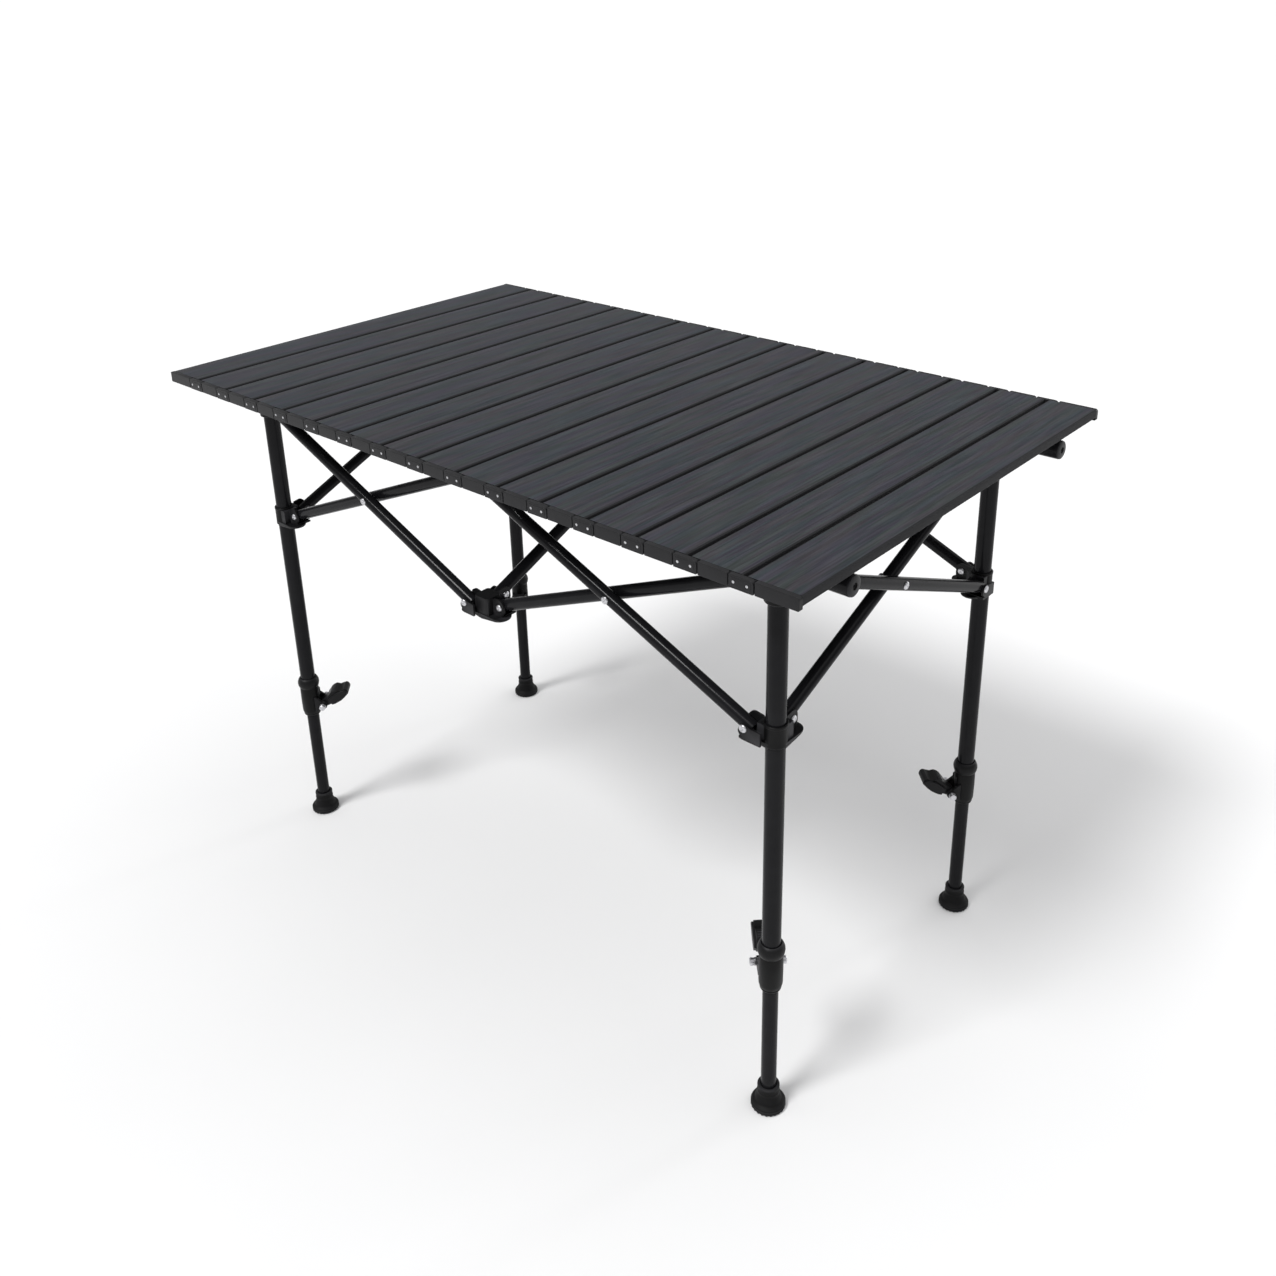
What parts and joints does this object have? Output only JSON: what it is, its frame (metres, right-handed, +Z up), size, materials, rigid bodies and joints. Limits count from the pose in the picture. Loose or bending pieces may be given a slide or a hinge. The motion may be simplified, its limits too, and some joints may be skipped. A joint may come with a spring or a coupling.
{
  "type": "folding side table",
  "caption": "Rectangular slatted roll-up tabletop on two round rails, carried by a folding scissor frame with length-adjustable round legs and flared feet.",
  "frame": {"origin": "on the floor under the middle of the top", "axes": "+X along the length of the top (across the slats), +Y from front to back along each slat, +Z up"},
  "size_m": [0.9212, 0.55, 0.646],
  "materials": {
    "slat": "dark anodised, fine brushing along each slat",
    "tube": "gloss black coat on round tube",
    "hub": "fine-grained black moulding",
    "foot": "matt black",
    "pin": "bright rivets and lever pins"
  },
  "bodies": {
    "centre_and_first_slat": {"hub_top_front_centre": "hub", "rail_front": "tube", "slat_01": "slat"},
    "back_centre_top": {"hub_top_back_centre": "hub", "rail_back": "tube"},
    "hub_low_front_centre": {"hub_low_front_centre": "hub"},
    "hub_low_back_centre": {"hub_low_back_centre": "hub"},
    "leg_front_left": {"leg_upper_front_left": "tube", "lock_collar_front_left": "hub"},
    "slider_front_left": {"hub_slider_front_left": "hub"},
    "leg_foot_front_left": {"leg_lower_front_left": "tube", "foot_front_left": "foot"},
    "lever_front_left": {"lock_lever_front_left": "hub"},
    "leg_front_right": {"leg_upper_front_right": "tube", "lock_collar_front_right": "hub"},
    "slider_front_right": {"hub_slider_front_right": "hub"},
    "leg_foot_front_right": {"leg_lower_front_right": "tube", "foot_front_right": "foot"},
    "lever_front_right": {"lock_lever_front_right": "hub"},
    "leg_back_left": {"leg_upper_back_left": "tube", "lock_collar_back_left": "hub"},
    "slider_back_left": {"hub_slider_back_left": "hub"},
    "leg_foot_back_left": {"leg_lower_back_left": "tube", "foot_back_left": "foot"},
    "lever_back_left": {"lock_lever_back_left": "hub"},
    "leg_back_right": {"leg_upper_back_right": "tube", "lock_collar_back_right": "hub"},
    "slider_back_right": {"hub_slider_back_right": "hub"},
    "leg_foot_back_right": {"leg_lower_back_right": "tube", "foot_back_right": "foot"},
    "lever_back_right": {"lock_lever_back_right": "hub"},
    "bar_side_centre_falling": {"bar_side_centre_falling": "tube"},
    "bar_side_centre_rising": {"bar_side_centre_rising": "tube"},
    "bar_front_left_rising": {"bar_front_left_rising": "tube"},
    "bar_front_left_falling": {"bar_front_left_falling": "tube"},
    "bar_front_right_falling": {"bar_front_right_falling": "tube"},
    "bar_front_right_rising": {"bar_front_right_rising": "tube"},
    "bar_back_left_rising": {"bar_back_left_rising": "tube"},
    "bar_back_left_falling": {"bar_back_left_falling": "tube"},
    "bar_back_right_falling": {"bar_back_right_falling": "tube"},
    "bar_back_right_rising": {"bar_back_right_rising": "tube"},
    "bar_side_left_falling": {"bar_side_left_falling": "tube"},
    "bar_side_left_rising": {"bar_side_left_rising": "tube"},
    "bar_side_right_falling": {"bar_side_right_falling": "tube"},
    "bar_side_right_rising": {"bar_side_right_rising": "tube"},
    "slat_02": {"slat_02": "slat"},
    "slat_03": {"slat_03": "slat"},
    "slat_04": {"slat_04": "slat"},
    "slat_05": {"slat_05": "slat"},
    "slat_06": {"slat_06": "slat"},
    "slat_07": {"slat_07": "slat"},
    "slat_08": {"slat_08": "slat"},
    "slat_09": {"slat_09": "slat"},
    "slat_10": {"slat_10": "slat"},
    "slat_11": {"slat_11": "slat"},
    "slat_12": {"slat_12": "slat"},
    "slat_13": {"slat_13": "slat"},
    "slat_14": {"slat_14": "slat"},
    "slat_15": {"slat_15": "slat"},
    "slat_16": {"slat_16": "slat"}
  },
  "joints": [
    {"name": "frame_fold", "type": "hinge", "parent": "centre_and_first_slat", "child": "bar_side_centre_falling", "pos_m": [0, -0.17, 0.598], "axis": [-1, 0, 0], "range_deg": [0, 55]},
    {"name": "side_centre_crossing", "type": "hinge", "parent": "bar_side_centre_falling", "child": "bar_side_centre_rising", "pos_m": [0, 0, 0.526], "axis": [-1, 0, 0], "range_deg": [-110, 0]},
    {"name": "side_centre_top_pivot", "type": "hinge", "parent": "bar_side_centre_rising", "child": "back_centre_top", "pos_m": [0, 0.17, 0.598], "axis": [-1, 0, 0], "range_deg": [0, 55]},
    {"name": "side_centre_low_pivot", "type": "hinge", "parent": "bar_side_centre_falling", "child": "hub_low_back_centre", "pos_m": [0, 0.17, 0.454], "axis": [-1, 0, 0], "range_deg": [-55, 0]},
    {"name": "front_centre_low_pivot", "type": "hinge", "parent": "bar_side_centre_rising", "child": "hub_low_front_centre", "pos_m": [0, -0.17, 0.454], "axis": [-1, 0, 0], "range_deg": [0, 55]},
    {"name": "front_left_bar_a", "type": "hinge", "parent": "centre_and_first_slat", "child": "bar_front_left_rising", "pos_m": [-0.02, -0.194, 0.598], "axis": [0, -1, 0], "range_deg": [0, 55]},
    {"name": "front_left_crossing", "type": "hinge", "parent": "bar_front_left_rising", "child": "bar_front_left_falling", "pos_m": [-0.19, -0.194, 0.526], "axis": [0, -1, 0], "range_deg": [-110, 0]},
    {"name": "front_left_top_pivot", "type": "hinge", "parent": "bar_front_left_falling", "child": "leg_front_left", "pos_m": [-0.36, -0.194, 0.598], "axis": [0, -1, 0], "range_deg": [0, 55]},
    {"name": "front_left_low_pivot", "type": "hinge", "parent": "bar_front_left_rising", "child": "slider_front_left", "pos_m": [-0.36, -0.194, 0.454], "axis": [0, -1, 0], "range_deg": [-55, 0]},
    {"name": "front_right_bar_a", "type": "hinge", "parent": "centre_and_first_slat", "child": "bar_front_right_falling", "pos_m": [0.02, -0.194, 0.598], "axis": [0, 1, 0], "range_deg": [0, 55]},
    {"name": "front_right_crossing", "type": "hinge", "parent": "bar_front_right_falling", "child": "bar_front_right_rising", "pos_m": [0.19, -0.194, 0.526], "axis": [0, 1, 0], "range_deg": [-110, 0]},
    {"name": "front_right_top_pivot", "type": "hinge", "parent": "bar_front_right_rising", "child": "leg_front_right", "pos_m": [0.36, -0.194, 0.598], "axis": [0, 1, 0], "range_deg": [0, 55]},
    {"name": "front_right_low_pivot", "type": "hinge", "parent": "bar_front_right_falling", "child": "slider_front_right", "pos_m": [0.36, -0.194, 0.454], "axis": [0, 1, 0], "range_deg": [-55, 0]},
    {"name": "back_left_bar_a", "type": "hinge", "parent": "back_centre_top", "child": "bar_back_left_rising", "pos_m": [-0.02, 0.194, 0.598], "axis": [0, -1, 0], "range_deg": [0, 55]},
    {"name": "back_left_crossing", "type": "hinge", "parent": "bar_back_left_rising", "child": "bar_back_left_falling", "pos_m": [-0.19, 0.194, 0.526], "axis": [0, -1, 0], "range_deg": [-110, 0]},
    {"name": "back_left_top_pivot", "type": "hinge", "parent": "bar_back_left_falling", "child": "leg_back_left", "pos_m": [-0.36, 0.194, 0.598], "axis": [0, -1, 0], "range_deg": [0, 55]},
    {"name": "back_left_low_pivot", "type": "hinge", "parent": "bar_back_left_rising", "child": "slider_back_left", "pos_m": [-0.36, 0.194, 0.454], "axis": [0, -1, 0], "range_deg": [-55, 0]},
    {"name": "back_right_bar_a", "type": "hinge", "parent": "back_centre_top", "child": "bar_back_right_falling", "pos_m": [0.02, 0.194, 0.598], "axis": [0, 1, 0], "range_deg": [0, 55]},
    {"name": "back_right_crossing", "type": "hinge", "parent": "bar_back_right_falling", "child": "bar_back_right_rising", "pos_m": [0.19, 0.194, 0.526], "axis": [0, 1, 0], "range_deg": [-110, 0]},
    {"name": "back_right_top_pivot", "type": "hinge", "parent": "bar_back_right_rising", "child": "leg_back_right", "pos_m": [0.36, 0.194, 0.598], "axis": [0, 1, 0], "range_deg": [0, 55]},
    {"name": "back_right_low_pivot", "type": "hinge", "parent": "bar_back_right_falling", "child": "slider_back_right", "pos_m": [0.36, 0.194, 0.454], "axis": [0, 1, 0], "range_deg": [-55, 0]},
    {"name": "side_left_bar_a", "type": "hinge", "parent": "leg_front_left", "child": "bar_side_left_falling", "pos_m": [-0.384, -0.17, 0.598], "axis": [-1, 0, 0], "range_deg": [0, 55]},
    {"name": "side_left_crossing", "type": "hinge", "parent": "bar_side_left_falling", "child": "bar_side_left_rising", "pos_m": [-0.384, 0, 0.526], "axis": [-1, 0, 0], "range_deg": [-110, 0]},
    {"name": "side_right_bar_a", "type": "hinge", "parent": "leg_front_right", "child": "bar_side_right_falling", "pos_m": [0.384, -0.17, 0.598], "axis": [-1, 0, 0], "range_deg": [0, 55]},
    {"name": "side_right_crossing", "type": "hinge", "parent": "bar_side_right_falling", "child": "bar_side_right_rising", "pos_m": [0.384, 0, 0.526], "axis": [-1, 0, 0], "range_deg": [-110, 0]},
    {"name": "leg_length_front_left", "type": "slide", "parent": "leg_front_left", "child": "leg_foot_front_left", "axis": [0, 0, 1], "range_m": [-0.035, 0.125]},
    {"name": "lock_lever_front_left", "type": "hinge", "parent": "leg_front_left", "child": "lever_front_left", "pos_m": [-0.37163, -0.18163, 0.172], "axis": [-0.7071, 0.7071, 0], "range_deg": [0, 75]},
    {"name": "leg_length_front_right", "type": "slide", "parent": "leg_front_right", "child": "leg_foot_front_right", "axis": [0, 0, 1], "range_m": [-0.035, 0.125]},
    {"name": "lock_lever_front_right", "type": "hinge", "parent": "leg_front_right", "child": "lever_front_right", "pos_m": [0.37163, -0.18163, 0.172], "axis": [-0.7071, -0.7071, 0], "range_deg": [0, 75]},
    {"name": "leg_length_back_left", "type": "slide", "parent": "leg_back_left", "child": "leg_foot_back_left", "axis": [0, 0, 1], "range_m": [-0.035, 0.125]},
    {"name": "lock_lever_back_left", "type": "hinge", "parent": "leg_back_left", "child": "lever_back_left", "pos_m": [-0.37163, 0.18163, 0.172], "axis": [0.7071, 0.7071, 0], "range_deg": [0, 75]},
    {"name": "leg_length_back_right", "type": "slide", "parent": "leg_back_right", "child": "leg_foot_back_right", "axis": [0, 0, 1], "range_m": [-0.035, 0.125]},
    {"name": "lock_lever_back_right", "type": "hinge", "parent": "leg_back_right", "child": "lever_back_right", "pos_m": [0.37163, 0.18163, 0.172], "axis": [0.7071, -0.7071, 0], "range_deg": [0, 75]},
    {"name": "top_hinge_02", "type": "hinge", "parent": "centre_and_first_slat", "child": "slat_02", "pos_m": [-0.39835, 0, 0.63975], "axis": [0, -1, 0], "range_deg": [0, 36]},
    {"name": "top_hinge_03", "type": "hinge", "parent": "slat_02", "child": "slat_03", "pos_m": [-0.34055, 0, 0.63975], "axis": [0, -1, 0], "range_deg": [0, 36.5]},
    {"name": "top_hinge_04", "type": "hinge", "parent": "slat_03", "child": "slat_04", "pos_m": [-0.28275, 0, 0.63975], "axis": [0, -1, 0], "range_deg": [0, 37]},
    {"name": "top_hinge_05", "type": "hinge", "parent": "slat_04", "child": "slat_05", "pos_m": [-0.22495, 0, 0.63975], "axis": [0, -1, 0], "range_deg": [0, 37.5]},
    {"name": "top_hinge_06", "type": "hinge", "parent": "slat_05", "child": "slat_06", "pos_m": [-0.16715, 0, 0.63975], "axis": [0, -1, 0], "range_deg": [0, 38.5]},
    {"name": "top_hinge_07", "type": "hinge", "parent": "slat_06", "child": "slat_07", "pos_m": [-0.10935, 0, 0.63975], "axis": [0, -1, 0], "range_deg": [0, 40]},
    {"name": "top_hinge_08", "type": "hinge", "parent": "slat_07", "child": "slat_08", "pos_m": [-0.05155, 0, 0.63975], "axis": [0, -1, 0], "range_deg": [0, 41]},
    {"name": "top_hinge_09", "type": "hinge", "parent": "slat_08", "child": "slat_09", "pos_m": [0.00625, 0, 0.63975], "axis": [0, -1, 0], "range_deg": [0, 42.5]},
    {"name": "top_hinge_10", "type": "hinge", "parent": "slat_09", "child": "slat_10", "pos_m": [0.06405, 0, 0.63975], "axis": [0, -1, 0], "range_deg": [0, 44]},
    {"name": "top_hinge_11", "type": "hinge", "parent": "slat_10", "child": "slat_11", "pos_m": [0.12185, 0, 0.63975], "axis": [0, -1, 0], "range_deg": [0, 46]},
    {"name": "top_hinge_12", "type": "hinge", "parent": "slat_11", "child": "slat_12", "pos_m": [0.17965, 0, 0.63975], "axis": [0, -1, 0], "range_deg": [0, 47.5]},
    {"name": "top_hinge_13", "type": "hinge", "parent": "slat_12", "child": "slat_13", "pos_m": [0.23745, 0, 0.63975], "axis": [0, -1, 0], "range_deg": [0, 49.5]},
    {"name": "top_hinge_14", "type": "hinge", "parent": "slat_13", "child": "slat_14", "pos_m": [0.29525, 0, 0.63975], "axis": [0, -1, 0], "range_deg": [0, 51.5]},
    {"name": "top_hinge_15", "type": "hinge", "parent": "slat_14", "child": "slat_15", "pos_m": [0.35305, 0, 0.63975], "axis": [0, -1, 0], "range_deg": [0, 54]},
    {"name": "top_hinge_16", "type": "hinge", "parent": "slat_15", "child": "slat_16", "pos_m": [0.41085, 0, 0.63975], "axis": [0, -1, 0], "range_deg": [0, 56]}
  ],
  "couplings": [
    {"joint": "side_centre_crossing", "follows": "frame_fold", "ratio": -2},
    {"joint": "side_centre_top_pivot", "follows": "frame_fold", "ratio": 1},
    {"joint": "side_centre_low_pivot", "follows": "frame_fold", "ratio": -1},
    {"joint": "front_centre_low_pivot", "follows": "frame_fold", "ratio": 1},
    {"joint": "front_left_bar_a", "follows": "frame_fold", "ratio": 1},
    {"joint": "front_left_crossing", "follows": "frame_fold", "ratio": -2},
    {"joint": "front_left_top_pivot", "follows": "frame_fold", "ratio": 1},
    {"joint": "front_left_low_pivot", "follows": "frame_fold", "ratio": -1},
    {"joint": "front_right_bar_a", "follows": "frame_fold", "ratio": 1},
    {"joint": "front_right_crossing", "follows": "frame_fold", "ratio": -2},
    {"joint": "front_right_top_pivot", "follows": "frame_fold", "ratio": 1},
    {"joint": "front_right_low_pivot", "follows": "frame_fold", "ratio": -1},
    {"joint": "back_left_bar_a", "follows": "frame_fold", "ratio": 1},
    {"joint": "back_left_crossing", "follows": "frame_fold", "ratio": -2},
    {"joint": "back_left_top_pivot", "follows": "frame_fold", "ratio": 1},
    {"joint": "back_left_low_pivot", "follows": "frame_fold", "ratio": -1},
    {"joint": "back_right_bar_a", "follows": "frame_fold", "ratio": 1},
    {"joint": "back_right_crossing", "follows": "frame_fold", "ratio": -2},
    {"joint": "back_right_top_pivot", "follows": "frame_fold", "ratio": 1},
    {"joint": "back_right_low_pivot", "follows": "frame_fold", "ratio": -1},
    {"joint": "side_left_bar_a", "follows": "frame_fold", "ratio": 1},
    {"joint": "side_left_crossing", "follows": "frame_fold", "ratio": -2},
    {"joint": "side_right_bar_a", "follows": "frame_fold", "ratio": 1},
    {"joint": "side_right_crossing", "follows": "frame_fold", "ratio": -2}
  ]
}
